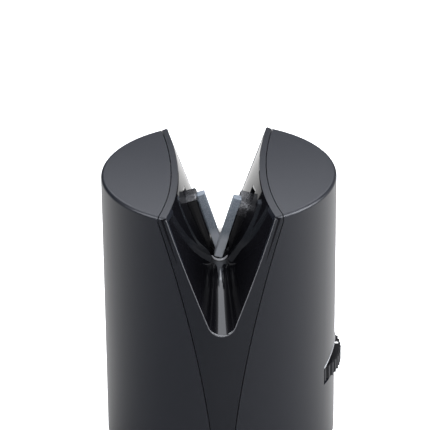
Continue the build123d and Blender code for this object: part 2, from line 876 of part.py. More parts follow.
with BuildPart() as index_mark:
    with BuildSketch(Plane.XY.offset(wheel_top - mark_depth)):
        with Locations((wheel_x, 0)):
            with PolarLocations(wheel_radius - mark_inset, 1, start_angle=mark_angle):
                Circle(mark_diameter / 2)
    extrude(amount=mark_depth)
index_mark.part.label = "index_mark"
export_step(index_mark.part, "parts/index_mark.step")


# Shaft: runs in two bushes, carries the wheel below its collar and lifts the nut with its thread
with BuildPart() as wheel_shaft:
    with BuildSketch(Plane.XY.offset(shaft_bottom)):
        with Locations((wheel_x, 0)):
            Circle(shaft_radius)
    extrude(amount=shaft_top - shaft_bottom)
    chamfer(wheel_shaft.edges().group_by(Axis.Z)[0], length=shaft_end_chamfer)
    chamfer(wheel_shaft.edges().group_by(Axis.Z)[-1], length=shaft_end_chamfer)
    with BuildSketch(Plane.XY.offset(wheel_top)):
        with Locations((wheel_x, 0)):
            Circle(collar_radius)
    extrude(amount=deck_bottom - collar_gap - wheel_top)
wheel_shaft.part.label = "wheel_shaft"
export_step(wheel_shaft.part, "parts/wheel_shaft.step")

for name, seat, length in (
    ("lower_bush", shaft_boss_top, lower_bush_length),
    ("upper_bush", deck_top, deck_thickness),
):
    with BuildPart() as bush:
        with BuildSketch(Plane.XY.offset(seat - length)):
            with Locations((wheel_x, 0)):
                Circle(bush_radius)
        extrude(amount=length)
        with BuildSketch(Plane.XY.offset(seat)):
            with Locations((wheel_x, 0)):
                Circle(bush_radius + bush_flange_width)
        extrude(amount=bush_flange)
        with BuildSketch(Plane.XY.offset(seat - length)):
            with Locations((wheel_x, 0)):
                Circle(shaft_radius + running_gap)
        extrude(amount=length + bush_flange, mode=Mode.SUBTRACT)
    bush.part.label = name
    export_step(bush.part, f"parts/{name}.step")


# Chassis: the floor with its columns, the shaft's boss and the click spring's post
click_face = wheel_x - wheel_radius - click_post_gap
click_height = (wheel_bottom + wheel_top) / 2
click_screw_y = click_post_y - click_post_size[1] / 4

with BuildPart() as chassis:
    with BuildSketch(Plane.XY.offset(shell_bottom)):
        Circle(inner_radius - chassis_gap)
        with Locations(*boss_spots, *frame_boss_spots):
            Circle(screw_radius + screw_clearance, mode=Mode.SUBTRACT)
    extrude(amount=floor_thickness)
    with BuildSketch(Plane.XY.offset(floor_top)):
        with Locations(*column_spots):
            Circle(column_radius)
    extrude(amount=deck_bottom - floor_top)
    with BuildSketch(Plane.XY.offset(deck_bottom - screw_length)):
        with Locations(*column_spots):
            Circle(screw_radius + screw_clearance)
    extrude(amount=screw_length, mode=Mode.SUBTRACT)
    with BuildSketch(Plane.XY.offset(floor_top)):
        with Locations((wheel_x, 0)):
            Circle(shaft_boss_radius)
    extrude(amount=shaft_boss_top - floor_top)
    with BuildSketch(Plane.XY.offset(shaft_boss_top - lower_bush_length)):
        with Locations((wheel_x, 0)):
            Circle(bush_radius + seat_gap)
    extrude(amount=lower_bush_length, mode=Mode.SUBTRACT)
    with BuildSketch(Plane.XY.offset(shaft_bottom - shaft_pocket_gap)):
        with Locations((wheel_x, 0)):
            Circle(shaft_radius + shaft_pocket_gap)
    extrude(amount=shaft_boss_top - shaft_bottom, mode=Mode.SUBTRACT)
    with BuildSketch(Plane.XY.offset(floor_top)):
        with Locations((click_face - click_post_size[0] / 2, click_post_y)):
            Rectangle(*click_post_size)
    extrude(amount=wheel_top - floor_top)
    with BuildSketch(Plane.YZ.offset(click_face)):
        with Locations((click_screw_y, click_height)):
            Circle(click_screw_radius + screw_clearance)
    extrude(amount=-click_post_size[0], mode=Mode.SUBTRACT)
chassis.part.label = "chassis"
export_step(chassis.part, "parts/chassis.step")


# Click spring: a leaf on the post whose nose rides on the wheel's flutes
with BuildPart() as click_spring:
    with BuildSketch(Plane.XY.offset(click_height - click_leaf_height / 2)):
        with BuildLine():
            leaf_x = click_face + click_leaf / 2
            nose_x = wheel_x - wheel_radius - click_gap - click_leaf / 2
            Polyline(
                (leaf_x, click_post_y - click_post_size[1] / 2),
                (leaf_x, click_post_y + click_post_size[1] / 2),
                (nose_x, 0),
                (leaf_x, click_nose_reach),
            )
        trace(line_width=click_leaf)
    extrude(amount=click_leaf_height)
    with BuildSketch(Plane.YZ.offset(click_face)):
        with Locations((click_screw_y, click_height)):
            Circle(click_screw_radius + screw_clearance)
    extrude(amount=click_leaf, mode=Mode.SUBTRACT)
click_spring.part.label = "click_spring"
export_step(click_spring.part, "parts/click_spring.step")

with BuildPart() as click_screw:
    with BuildSketch(Plane.YZ.offset(click_face + click_leaf)):
        with Locations((click_screw_y, click_height)):
            Circle(click_head_radius)
    extrude(amount=click_head)
    with BuildSketch(Plane.YZ.offset(click_face + click_leaf)):
        with Locations((click_screw_y, click_height)):
            Circle(click_screw_radius)
    extrude(amount=-click_screw_length)
click_screw.part.label = "click_screw"
export_step(click_screw.part, "parts/click_screw.step")


# Deck: a plate on the columns, with the pivot's two pillars standing on it
with BuildPart() as deck_plate:
    with BuildSketch(Plane.XY.offset(deck_bottom)):
        Circle(inner_radius - lip_thickness - chassis_gap)
        with Locations((wheel_x, 0)):
            Circle(bush_radius + seat_gap, mode=Mode.SUBTRACT)
        with Locations(*guide_spots):
            Circle(guide_radius + running_gap, mode=Mode.SUBTRACT)
        with Locations(*column_spots, *liner_screw_spots):
            Circle(screw_radius + screw_clearance, mode=Mode.SUBTRACT)
    extrude(amount=deck_thickness)
    for side in (-1, 1):
        with BuildSketch(lever_plane(side).offset(pillar_start)):
            with Locations((0, deck_top - pivot_height)):
                Rectangle(
                    2 * pillar_half_width,
                    pivot_height - deck_top,
                    align=(Align.CENTER, Align.MIN),
                )
            Circle(pillar_half_width)
            Circle(pin_radius + running_gap, mode=Mode.SUBTRACT)
        extrude(amount=pillar_thickness)
deck_plate.part.label = "deck_plate"
export_step(deck_plate.part, "parts/deck_plate.step")


# Underside: the base plate with its recessed pad
with BuildPart() as base_plate:
    with BuildSketch(Plane.XY.offset(plate_bottom)):
        Circle(body_radius - base_plate_inset)
    extrude(amount=base_plate_thickness)
    chamfer(base_plate.edges().group_by(Axis.Z)[0], length=base_plate_inset)
    with BuildSketch(Plane.XY.offset(plate_bottom)):
        Circle(pad_radius + seat_gap)
    extrude(amount=pad_recess, mode=Mode.SUBTRACT)
    with BuildSketch(Plane.XY.offset(plate_bottom)):
        with Locations(*boss_spots, *frame_boss_spots):
            Circle(screw_head_radius + screw_clearance)
    extrude(amount=screw_head + screw_recess, mode=Mode.SUBTRACT)
    with BuildSketch(Plane.XY.offset(plate_bottom)):
        with Locations(*boss_spots, *frame_boss_spots):
            Circle(screw_radius + screw_clearance)
    extrude(amount=base_plate_thickness, mode=Mode.SUBTRACT)
base_plate.part.label = "base_plate"
export_step(base_plate.part, "parts/base_plate.step")

with BuildPart() as foot_pad:
    with BuildSketch():
        Circle(pad_radius)
    extrude(amount=pad_thickness)
    chamfer(foot_pad.edges().group_by(Axis.Z)[0], length=pad_recess / 3)
foot_pad.part.label = "foot_pad"
export_step(foot_pad.part, "parts/foot_pad.step")


# Screws: socket heads, seated on the plates and running into bosses, columns or keels
for name, spots, seat, direction in (
    ("base_screws", boss_spots, base_screw_seat, 1),
    ("frame_screws", frame_boss_spots, base_screw_seat, 1),
    ("liner_screws", liner_screw_spots, deck_bottom, 1),
    ("deck_screws", column_spots, deck_top, -1),
):
    with BuildPart() as screws:
        with BuildSketch(Plane.XY.offset(seat)):
            with Locations(*spots):
                Circle(screw_radius)
        extrude(amount=direction * screw_length)
        with BuildSketch(Plane.XY.offset(seat)):
            with Locations(*spots):
                Circle(screw_head_radius)
        extrude(amount=-direction * screw_head)
        with BuildSketch(Plane.XY.offset(seat - direction * screw_head)):
            with Locations(*spots):
                RegularPolygon(radius=socket_radius, side_count=6)
        extrude(amount=direction * socket_depth, mode=Mode.SUBTRACT)
    screws.part.label = name
    export_step(screws.part, f"parts/{name}.step")
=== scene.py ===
import bmesh
import bpy
import math
import numpy as np
from mathutils import Matrix, Vector


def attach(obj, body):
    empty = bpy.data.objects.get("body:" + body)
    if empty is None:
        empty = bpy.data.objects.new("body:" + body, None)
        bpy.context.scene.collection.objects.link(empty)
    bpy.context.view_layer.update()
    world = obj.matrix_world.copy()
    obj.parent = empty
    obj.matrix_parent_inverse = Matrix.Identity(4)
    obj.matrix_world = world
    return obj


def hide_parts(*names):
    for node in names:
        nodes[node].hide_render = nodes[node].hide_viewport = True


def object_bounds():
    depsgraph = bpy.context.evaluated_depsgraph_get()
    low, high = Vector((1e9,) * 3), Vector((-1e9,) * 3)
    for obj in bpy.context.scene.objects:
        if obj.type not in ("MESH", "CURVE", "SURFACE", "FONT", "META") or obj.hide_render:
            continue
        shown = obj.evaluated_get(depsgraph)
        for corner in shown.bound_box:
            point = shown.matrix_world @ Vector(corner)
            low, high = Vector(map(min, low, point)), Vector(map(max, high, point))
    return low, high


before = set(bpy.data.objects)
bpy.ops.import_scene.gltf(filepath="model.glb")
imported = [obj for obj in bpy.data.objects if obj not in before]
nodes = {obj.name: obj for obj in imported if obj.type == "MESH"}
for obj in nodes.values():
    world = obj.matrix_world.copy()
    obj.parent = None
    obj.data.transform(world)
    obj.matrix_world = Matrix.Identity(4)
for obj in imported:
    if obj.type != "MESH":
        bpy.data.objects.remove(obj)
cad_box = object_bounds()


# The studio: a plain pale table under a white surround, and the camera sees both as white. The
# object's gloss sees calmer tones: a table that is dark in front and bright behind, and a dim
# surround, palest in front and on the right.
floor_radius = 1.6
floor_sides = 96
floor_drop = 0.00005
floor_tone = (0.86, 0.86, 0.86, 1.0)
floor_glow = 0.62
white_tone = (1.0, 1.0, 1.0, 1.0)
# Strengths that gloss sees. Table and surround run from front to back over tone_depth of a
# direction's Y, the table fades to its edge over table_fade in metres, and the surround to its top
# over sky_top_height of the direction's Z
table_front = 0.30
table_back = 1.10
table_edge = 0.25
table_fade = (0.40, 0.75)
sky_front = 0.30
sky_back = 0.10
sky_top = 0.14
sky_top_height = (0.25, 0.62)
side_tone = 0.20
tone_depth = (-1.0, 0.8)
sky_light_strength = 0.55


def add_node(tree, kind, **settings):
    """One shader node. Settings name its properties, and in_NAME or in_0 its sockets, each with a
    plain value, the output that feeds it, or a node whose first output feeds it."""
    node = tree.nodes.new(kind)
    for key, setting in settings.items():
        if not key.startswith("in_"):
            setattr(node, key, setting)
            continue
        label = key[3:]
        socket = node.inputs[int(label) if label.isdigit() else label.replace("_", " ")]
        if isinstance(setting, bpy.types.Node):
            setting = setting.outputs[0]
        if isinstance(setting, bpy.types.NodeSocket):
            tree.links.new(setting, socket)
        else:
            socket.default_value = setting
    return node


def add_range(tree, source, low, high, start=0.0, end=1.0, kind="LINEAR"):
    """Carries a value from the range low to high over to the range start to end."""
    return add_node(tree, "ShaderNodeMapRange", interpolation_type=kind, in_0=source, in_1=low,
                    in_2=high, in_3=start, in_4=end).outputs[0]


def fresh_tree(owner):
    """Empties an owner's node tree and returns it."""
    owner.use_nodes = True
    owner.node_tree.nodes.clear()
    return owner.node_tree


def surround_tone(tree, direction, front, back):
    """Brightness that gloss sees along a direction: from front to back along Y, plus side_tone
    times X. Returns it and the direction's height."""
    split = add_node(tree, "ShaderNodeSeparateXYZ", in_0=direction)
    along = add_range(tree, split.outputs["Y"], *tone_depth, front, back, "SMOOTHSTEP")
    across = add_node(tree, "ShaderNodeMath", operation="MULTIPLY_ADD", in_0=split.outputs["X"],
                      in_1=side_tone, in_2=along)
    return across.outputs[0], split.outputs["Z"]


floor_angles = np.linspace(0.0, 2 * np.pi, floor_sides, endpoint=False)
floor_points = np.stack([floor_radius * np.cos(floor_angles), floor_radius * np.sin(floor_angles),
                         np.full(floor_sides, -floor_drop)], 1)
floor_mesh = bpy.data.meshes.new("floor")
floor_mesh.from_pydata(floor_points.tolist(), [], [list(range(floor_sides))])
floor = bpy.data.objects.new("floor", floor_mesh)
bpy.context.scene.collection.objects.link(floor)

floor_material = bpy.data.materials.new("table_paper")
tree = fresh_tree(floor_material)
ray = add_node(tree, "ShaderNodeLightPath")
spot = add_node(tree, "ShaderNodeTexCoord").outputs["Object"]
bearing = add_node(tree, "ShaderNodeVectorMath", operation="NORMALIZE", in_0=spot)
table_tone, _ = surround_tone(tree, bearing, table_front, table_back)
table_reach = add_node(tree, "ShaderNodeVectorMath", operation="LENGTH", in_0=spot)
table_far = add_range(tree, table_reach.outputs["Value"], *table_fade)
table_blend = add_node(tree, "ShaderNodeMix", data_type="FLOAT", in_0=table_far, in_2=table_tone,
                       in_3=table_edge)
paper = add_node(tree, "ShaderNodeBsdfDiffuse", in_Color=floor_tone)
camera_glow = add_node(tree, "ShaderNodeEmission", in_Strength=floor_glow)
camera_paper = add_node(tree, "ShaderNodeAddShader", in_0=paper, in_1=camera_glow)
gloss_glow = add_node(tree, "ShaderNodeEmission", in_Strength=table_blend)
camera_mix = add_node(tree, "ShaderNodeMixShader", in_0=ray.outputs["Is Camera Ray"], in_1=paper,
                      in_2=camera_paper)
gloss_mix = add_node(tree, "ShaderNodeMixShader", in_0=ray.outputs["Is Glossy Ray"],
                     in_1=camera_mix, in_2=gloss_glow)
add_node(tree, "ShaderNodeOutputMaterial", in_Surface=gloss_mix)
floor_mesh.materials.append(floor_material)

world = bpy.data.worlds.new("studio")
bpy.context.scene.world = world
tree = fresh_tree(world)
ray = add_node(tree, "ShaderNodeLightPath")
spot = add_node(tree, "ShaderNodeTexCoord").outputs["Generated"]
sky_tone, sky_height = surround_tone(tree, spot, sky_front, sky_back)
overhead = add_range(tree, sky_height, *sky_top_height, kind="SMOOTHSTEP")
sky_blend = add_node(tree, "ShaderNodeMix", data_type="FLOAT", in_0=overhead, in_2=sky_tone,
                     in_3=sky_top)
sky_light = add_node(tree, "ShaderNodeBackground", in_Color=white_tone,
                     in_Strength=sky_light_strength)
sky_gloss = add_node(tree, "ShaderNodeBackground", in_Color=white_tone, in_Strength=sky_blend)
sky_white = add_node(tree, "ShaderNodeBackground", in_Color=white_tone, in_Strength=1.0)
gloss_mix = add_node(tree, "ShaderNodeMixShader", in_0=ray.outputs["Is Glossy Ray"],
                     in_1=sky_light, in_2=sky_gloss)
camera_mix = add_node(tree, "ShaderNodeMixShader", in_0=ray.outputs["Is Camera Ray"],
                      in_1=gloss_mix, in_2=sky_white)
add_node(tree, "ShaderNodeOutputWorld", in_Surface=camera_mix)


# The lamps: soft square boxes at both sides, a high one that draws the bright line down the
# trough's root, a long narrow one high in front, and a low one close behind for the flat tops.
# Each is a name, a place in metres, the sides of the box in metres, its power in watts and its aim.
lamp_tint = (0.955, 0.985, 1.06)
for lamp_name, lamp_place, lamp_size, lamp_power, lamp_aim in (
    ("lamp_left", (-0.9, -0.25, 0.75), (0.6, 0.6), 7.0, (0.0, 0.0, 0.07)),
    ("lamp_right", (0.9, -0.05, 0.55), (0.6, 0.6), 9.0, (0.0, 0.0, 0.07)),
    ("lamp_high", (0.0, 0.12, 0.75), (0.80, 0.75), 3.0, (0.0, 0.0, 0.09)),
    ("lamp_front", (0.20, -0.40, 0.70), (1.20, 0.17), 5.4, (0.0, 0.0, 0.10)),
    ("lamp_low", (0.0, 0.175, 0.255), (0.26, 0.08), 0.15, (0.0, 0.0, 0.108)),
):
    lamp_data = bpy.data.lights.new(lamp_name, "AREA")
    lamp_data.shape = "RECTANGLE"
    lamp_data.size, lamp_data.size_y = lamp_size
    lamp_data.energy = lamp_power
    lamp_data.color = lamp_tint
    lamp = bpy.data.objects.new(lamp_name, lamp_data)
    lamp.location = lamp_place
    lamp.rotation_euler = (Vector(lamp_aim) - lamp.location).to_track_quat("-Z", "Y").to_euler()
    lamp.visible_camera = False
    bpy.context.scene.collection.objects.link(lamp)


# The camera: a long lens, 25.6 degrees above the trough's axis. The aim point brings the top's
# middle to pixel (219, 171) of the 430-pixel frame.
view_elevation = math.radians(25.59)
view_azimuth = math.radians(-0.9)
view_distance = 0.934
view_roll = math.radians(-0.55)
view_lens_pixels = 2623.0
frame_pixels = 430.0
sensor_width = 36.0
aim_point = Vector((-0.001485, 0.0, 0.09062))
top_middle = Vector((0.0, 0.0, cad_box[1][2]))
camera_data = bpy.data.cameras.new("camera")
camera_data.sensor_width = sensor_width
camera_data.lens = view_lens_pixels / frame_pixels * sensor_width
camera = bpy.data.objects.new("camera", camera_data)
camera.location = top_middle + view_distance * Vector((
    math.cos(view_elevation) * math.sin(view_azimuth),
    -math.cos(view_elevation) * math.cos(view_azimuth),
    math.sin(view_elevation),
))
look = (aim_point - camera.location).to_track_quat("-Z", "Y").to_matrix().to_4x4()
camera.rotation_euler = (look @ Matrix.Rotation(view_roll, 4, "Z")).to_euler()
bpy.context.scene.collection.objects.link(camera)
bpy.context.scene.camera = camera
bpy.context.scene.view_settings.view_transform = "Standard"


# The foot pad: a disc of non-slip rubber, moulded with a leathery grain and let into the base
# plate's recess, where it is glued.
streak_share = 0.35


def add_group(name, inputs, outputs):
    """An empty node group with named float or vector sockets; returns it with its two ends."""
    group = bpy.data.node_groups.new(name, "ShaderNodeTree")
    for label, kind, value in inputs:
        socket = group.interface.new_socket(name=label, in_out="INPUT", socket_type=kind)
        if value is not None:
            socket.default_value = value
    for label, kind in outputs:
        group.interface.new_socket(name=label, in_out="OUTPUT", socket_type=kind)
    return group, group.nodes.new("NodeGroupInput"), group.nodes.new("NodeGroupOutput")


# Moulded skin: a fine noise is the grain's height. A broad noise and a share of a middle one are
# the handling marks, which vary the roughness about its own value.
skin, skin_in, skin_out = add_group(
    "moulded_skin",
    [("Vector", "NodeSocketVector", None), ("Grain", "NodeSocketFloat", 3000.0),
     ("Roughness", "NodeSocketFloat", 0.4), ("Handling", "NodeSocketFloat", 0.04)],
    [("Height", "NodeSocketFloat"), ("Roughness", "NodeSocketFloat")])
grain = add_node(skin, "ShaderNodeTexNoise", in_Vector=skin_in.outputs["Vector"],
                 in_Scale=skin_in.outputs["Grain"], in_Detail=2.0, in_Roughness=0.55)
broad = add_node(skin, "ShaderNodeTexNoise", in_Vector=skin_in.outputs["Vector"], in_Scale=38.0,
                 in_Detail=3.0, in_Roughness=0.6)
streak = add_node(skin, "ShaderNodeTexNoise", in_Vector=skin_in.outputs["Vector"],
                  in_Scale=260.0, in_Detail=1.0)
mixed = add_node(skin, "ShaderNodeMath", operation="MULTIPLY_ADD", in_0=streak,
                 in_1=streak_share, in_2=broad)
centred = add_node(skin, "ShaderNodeMath", operation="SUBTRACT", in_0=mixed,
                   in_1=0.5 + 0.5 * streak_share)
varied = add_node(skin, "ShaderNodeMath", operation="MULTIPLY_ADD", in_0=centred,
                  in_1=skin_in.outputs["Handling"], in_2=skin_in.outputs["Roughness"])
skin.links.new(grain.outputs["Fac"], skin_out.inputs["Height"])
skin.links.new(varied.outputs[0], skin_out.inputs["Roughness"])


def start_material(name, colour, **sockets):
    """A material with a Principled shader, whose sockets get plain values. Returns it with its
    tree, its shader and the place on the object."""
    material = bpy.data.materials.new(name)
    tree = fresh_tree(material)
    shader = add_node(tree, "ShaderNodeBsdfPrincipled", in_Base_Color=(*colour, 1.0),
                      **{f"in_{socket}": value for socket, value in sockets.items()})
    add_node(tree, "ShaderNodeOutputMaterial", in_Surface=shader)
    place = add_node(tree, "ShaderNodeTexCoord")
    return material, tree, shader, place.outputs["Object"]


def add_bump(tree, shader, height, depth):
    """Feeds a height between 0 and 1 to the shader's normal; depth is its size in metres."""
    bump = add_node(tree, "ShaderNodeBump", in_Distance=depth, in_Strength=1.0, in_Height=height)
    tree.links.new(bump.outputs[0], shader.inputs["Normal"])


def moulded(name, colour, roughness, grain_scale, depth, handling, **sockets):
    """Moulded plastic or rubber: one colour, with the skin's grain and handling marks."""
    material, tree, shader, spot = start_material(name, colour, **sockets)
    piece_skin = add_node(tree, "ShaderNodeGroup", node_tree=skin, in_Vector=spot,
                          in_Grain=grain_scale, in_Roughness=roughness, in_Handling=handling)
    tree.links.new(piece_skin.outputs["Roughness"], shader.inputs["Roughness"])
    add_bump(tree, shader, piece_skin.outputs["Height"], depth)
    return material, tree, shader, spot


def dress(material, *names):
    """Gives CAD nodes one material."""
    for name in names:
        mesh = nodes[name].data
        mesh.materials.clear()
        mesh.materials.append(material)


pad_rubber, *_ = moulded("pad_rubber", (0.022, 0.022, 0.023), roughness=0.78, grain_scale=1400.0,
                         depth=0.00006, handling=0.10)
dress(pad_rubber, "foot_pad")


# The base plate: black ABS, moulded with a spark-eroded grain. Screws from below hold it to the
# bosses of the shells and the frame.
plate_black, *_ = moulded("plate_black", (0.020, 0.020, 0.022), roughness=0.46,
                          grain_scale=2600.0, depth=0.00003, handling=0.08)
dress(plate_black, "base_plate")


# The chassis, the deck plate and the lift yoke: dark nylon filled with glass fibre, whose ends
# show in the surface as short pale flecks. The deck plate is screwed down on the chassis.
fibre_dark = (0.030, 0.031, 0.034)
fibre_pale = (0.070, 0.072, 0.078)
fibre_stretch = (900.0, 5200.0, 5200.0)
fibre_turn = (0.3, 0.5, 0.7)
fibre_share = (0.60, 0.74)


def mix_colours(tree, share, first, second):
    """Mixes two colours by a share from 0 to 1; the first is a colour or the output of one."""
    if not isinstance(first, bpy.types.NodeSocket):
        first = (*first, 1.0)
    return add_node(tree, "ShaderNodeMix", data_type="RGBA", in_0=share, in_6=first,
                    in_7=(*second, 1.0)).outputs[2]


nylon, tree, shader, spot = moulded("glass_nylon", fibre_dark, roughness=0.52,
                                    grain_scale=2200.0, depth=0.00003, handling=0.08)
fleck_place = add_node(tree, "ShaderNodeMapping", in_Vector=spot, in_Scale=fibre_stretch,
                       in_Rotation=fibre_turn)
fleck = add_node(tree, "ShaderNodeTexNoise", in_Vector=fleck_place, in_Scale=1.0, in_Detail=1.0)
fleck_edge = add_range(tree, fleck.outputs["Fac"], *fibre_share)
tree.links.new(mix_colours(tree, fleck_edge, fibre_dark, fibre_pale), shader.inputs["Base Color"])
dress(nylon, "chassis", "deck_plate", "lift_yoke")


# Steel pieces: zinc-plated screws, pins, washers and clips, and the punched levers. The plating
# is bright and slightly cloudy, over fine drawn lines along the piece's length.
steel_cloud = 0.18
marks, marks_in, marks_out = add_group(
    "metal_marks",
    [("Vector", "NodeSocketVector", None), ("Roughness", "NodeSocketFloat", 0.3),
     ("Cloud", "NodeSocketFloat", 0.1)],
    [("Height", "NodeSocketFloat"), ("Roughness", "NodeSocketFloat")])
line = add_node(marks, "ShaderNodeTexNoise", in_Vector=marks_in.outputs["Vector"], in_Scale=1.0,
                in_Detail=3.0, in_Roughness=0.6)
cloud = add_node(marks, "ShaderNodeTexNoise", in_Vector=marks_in.outputs["Vector"],
                 in_Scale=0.15, in_Detail=3.0)
cloud_zero = add_node(marks, "ShaderNodeMath", operation="SUBTRACT", in_0=cloud, in_1=0.5)
cloudy = add_node(marks, "ShaderNodeMath", operation="MULTIPLY_ADD", in_0=cloud_zero,
                  in_1=marks_in.outputs["Cloud"], in_2=marks_in.outputs["Roughness"])
marks.links.new(line.outputs["Fac"], marks_out.inputs["Height"])
marks.links.new(cloudy.outputs[0], marks_out.inputs["Roughness"])


def drawn_metal(name, colour, roughness, stretch, depth):
    """Metal with fine lines; stretch is the lines' count per metre along X, Y and Z."""
    material, tree, shader, spot = start_material(name, colour, Metallic=1.0)
    spread = add_node(tree, "ShaderNodeMapping", in_Vector=spot, in_Scale=stretch)
    piece_marks = add_node(tree, "ShaderNodeGroup", node_tree=marks, in_Vector=spread,
                           in_Roughness=roughness, in_Cloud=steel_cloud)
    tree.links.new(piece_marks.outputs["Roughness"], shader.inputs["Roughness"])
    add_bump(tree, shader, piece_marks.outputs["Height"], depth)
    return material


zinc = drawn_metal("zinc_plate", (0.60, 0.61, 0.62), roughness=0.30,
                   stretch=(5200.0, 5200.0, 1300.0), depth=0.000008)
dress(zinc, "deck_screws", "liner_screws", "base_screws", "frame_screws", "click_screw",
      "pin_spacers", "pivot_washers", "pin_clips", "lift_pegs")
ground_steel = drawn_metal("ground_pin", (0.66, 0.66, 0.66), roughness=0.16,
                           stretch=(6000.0, 900.0, 6000.0), depth=0.000004)
dress(ground_steel, "pivot_pin")
punched = drawn_metal("punched_steel", (0.50, 0.51, 0.53), roughness=0.34,
                      stretch=(900.0, 5200.0, 5200.0), depth=0.00001)
dress(punched, "left_lever", "right_lever", "click_spring")
wire = drawn_metal("spring_wire", (0.42, 0.42, 0.44), roughness=0.28,
                   stretch=(3000.0, 9000.0, 3000.0), depth=0.000006)
dress(wire, "left_spring", "right_spring")


# The turned pieces: the wheel's shaft and the guide posts of steel, and the bushes and the nut of
# brass. The tool left fine rings, which run round the wheel's axis, as shaft, bushes and nut do.
wheel_x = 0.0174
ring_variation = 0.20
rings, rings_in, rings_out = add_group(
    "turned_rings",
    [("Vector", "NodeSocketVector", None), ("Pitch", "NodeSocketFloat", 12000.0),
     ("Roughness", "NodeSocketFloat", 0.25)],
    [("Height", "NodeSocketFloat"), ("Roughness", "NodeSocketFloat")])
ring_split = add_node(rings, "ShaderNodeSeparateXYZ", in_0=rings_in.outputs["Vector"])
ring_flat = add_node(rings, "ShaderNodeCombineXYZ", in_X=ring_split.outputs["X"],
                     in_Y=ring_split.outputs["Y"])
ring_reach = add_node(rings, "ShaderNodeVectorMath", operation="LENGTH", in_0=ring_flat)
ring_spot = add_node(rings, "ShaderNodeMath", operation="ADD",
                     in_0=ring_reach.outputs["Value"], in_1=ring_split.outputs["Z"])
ring_scaled = add_node(rings, "ShaderNodeMath", operation="MULTIPLY", in_0=ring_spot,
                       in_1=rings_in.outputs["Pitch"])
ring_noise = add_node(rings, "ShaderNodeTexNoise", noise_dimensions="1D", in_W=ring_scaled,
                      in_Scale=1.0, in_Detail=2.0)
ring_zero = add_node(rings, "ShaderNodeMath", operation="SUBTRACT", in_0=ring_noise, in_1=0.5)
ring_rough = add_node(rings, "ShaderNodeMath", operation="MULTIPLY_ADD", in_0=ring_zero,
                      in_1=ring_variation, in_2=rings_in.outputs["Roughness"])
rings.links.new(ring_noise.outputs["Fac"], rings_out.inputs["Height"])
rings.links.new(ring_rough.outputs[0], rings_out.inputs["Roughness"])


def turned_metal(name, colour, roughness, pitch, depth):
    """Metal turned on a lathe about the wheel's axis, with rings of the given count per metre."""
    material, tree, shader, spot = start_material(name, colour, Metallic=1.0)
    centre = add_node(tree, "ShaderNodeMapping", in_Vector=spot, in_Location=(-wheel_x, 0.0, 0.0))
    piece_rings = add_node(tree, "ShaderNodeGroup", node_tree=rings, in_Vector=centre,
                           in_Pitch=pitch, in_Roughness=roughness)
    tree.links.new(piece_rings.outputs["Roughness"], shader.inputs["Roughness"])
    add_bump(tree, shader, piece_rings.outputs["Height"], depth)
    return material


brass = turned_metal("turned_brass", (0.72, 0.52, 0.22), roughness=0.24, pitch=9000.0,
                     depth=0.000006)
dress(brass, "lift_nut", "lower_bush", "upper_bush")
turned_steel = turned_metal("turned_steel", (0.60, 0.60, 0.61), roughness=0.22, pitch=11000.0,
                            depth=0.000005)
dress(turned_steel, "wheel_shaft", "guide_posts")


# The thumbwheel: satin black acetal, moulded with flutes round its rim and carried by its shaft
# below a collar. Fingers have polished the tips of the flutes.
wheel_radius = 0.027
tip_depth = 0.0006
acetal_black = (0.005, 0.005, 0.006)
acetal_polished = (0.035, 0.035, 0.038)
wheel_black, tree, shader, spot = moulded(
    "wheel_black", acetal_black, roughness=0.38, grain_scale=3000.0, depth=0.000012,
    handling=0.06, Specular_IOR_Level=0.22)
wheel_place = add_node(tree, "ShaderNodeMapping", in_Vector=spot,
                       in_Location=(-wheel_x, 0.0, 0.0), in_Scale=(1.0, 1.0, 0.0))
wheel_reach = add_node(tree, "ShaderNodeVectorMath", operation="LENGTH", in_0=wheel_place)
tip_mask = add_range(tree, wheel_reach.outputs["Value"], wheel_radius - tip_depth, wheel_radius)
tree.links.new(mix_colours(tree, tip_mask, acetal_black, acetal_polished),
               shader.inputs["Base Color"])
dress(wheel_black, "angle_wheel")


# The index mark: a dot of white paint, pad-printed into a shallow dimple in the wheel's top face,
# so that one sees how far the wheel is turned.
mark_white, *_ = moulded("mark_white", (0.80, 0.80, 0.78), roughness=0.5, grain_scale=4000.0,
                         depth=0.00001, handling=0.08)
dress(mark_white, "index_mark")


# The arms: high-gloss black nylon. Each has a full-depth grip, rounded along its edges, and below
# it a half-depth plate that runs down past the other arm to the pivot's eye and the heel.
lean = math.radians(17.2)
pivot_height = 0.0616
# Places across the arm: its inner and outer side, and the rounds along them
arm_sides = (-0.0035, 0.0042)
side_rounds = (0.0007, 0.0015)
# Corners of each grip's side view: distance towards the arm's own layer, height along the arm
# and the length by which the corner is cut back and rounded
grip_corners = {
    "left": ((-0.0040, 0.0167, 0.0003), (-0.0040, 0.0379, 0.00004), (0.0040, 0.0335, 0.00004),
             (0.0040, 0.0167, 0.0003)),
    "right": ((-0.0040, 0.0167, 0.0003), (-0.0040, 0.0358, 0.00004), (0.0040, 0.0313, 0.00004),
              (0.0040, 0.0167, 0.0003)),
}
# The grip's foot rises to the bevel's height over the bevel's width at the inner side
grip_foot = 0.0167
bevel_height = 0.0230
bevel_width = 0.0018
# The plate's two faces by their layers, and its outline: place across the arm and height along
# it, with the eye's two arcs by their bearings in degrees
plate_layers = (0.0002, 0.0040)
plate_outline = ((0.0032, -0.0086), (0.0032, -0.00384), "eye_right", (0.0042, 0.00271),
                 (0.0042, 0.0172), (-0.0015, 0.0172), (-0.0031, 0.01292), (-0.0061, 0.01292),
                 (-0.0061, 0.0096), (-0.0035, 0.0084), (-0.0035, 0.00357), "eye_left",
                 (-0.0032, -0.00384), (-0.0032, -0.0086))
eye_radius = 0.005
eye_arcs = {"eye_right": (-49.0, 31.0), "eye_left": (136.0, 228.0)}
pin_hole = 0.00205
eye_steps = 28
hole_steps = 40
arm_crease = 32.0


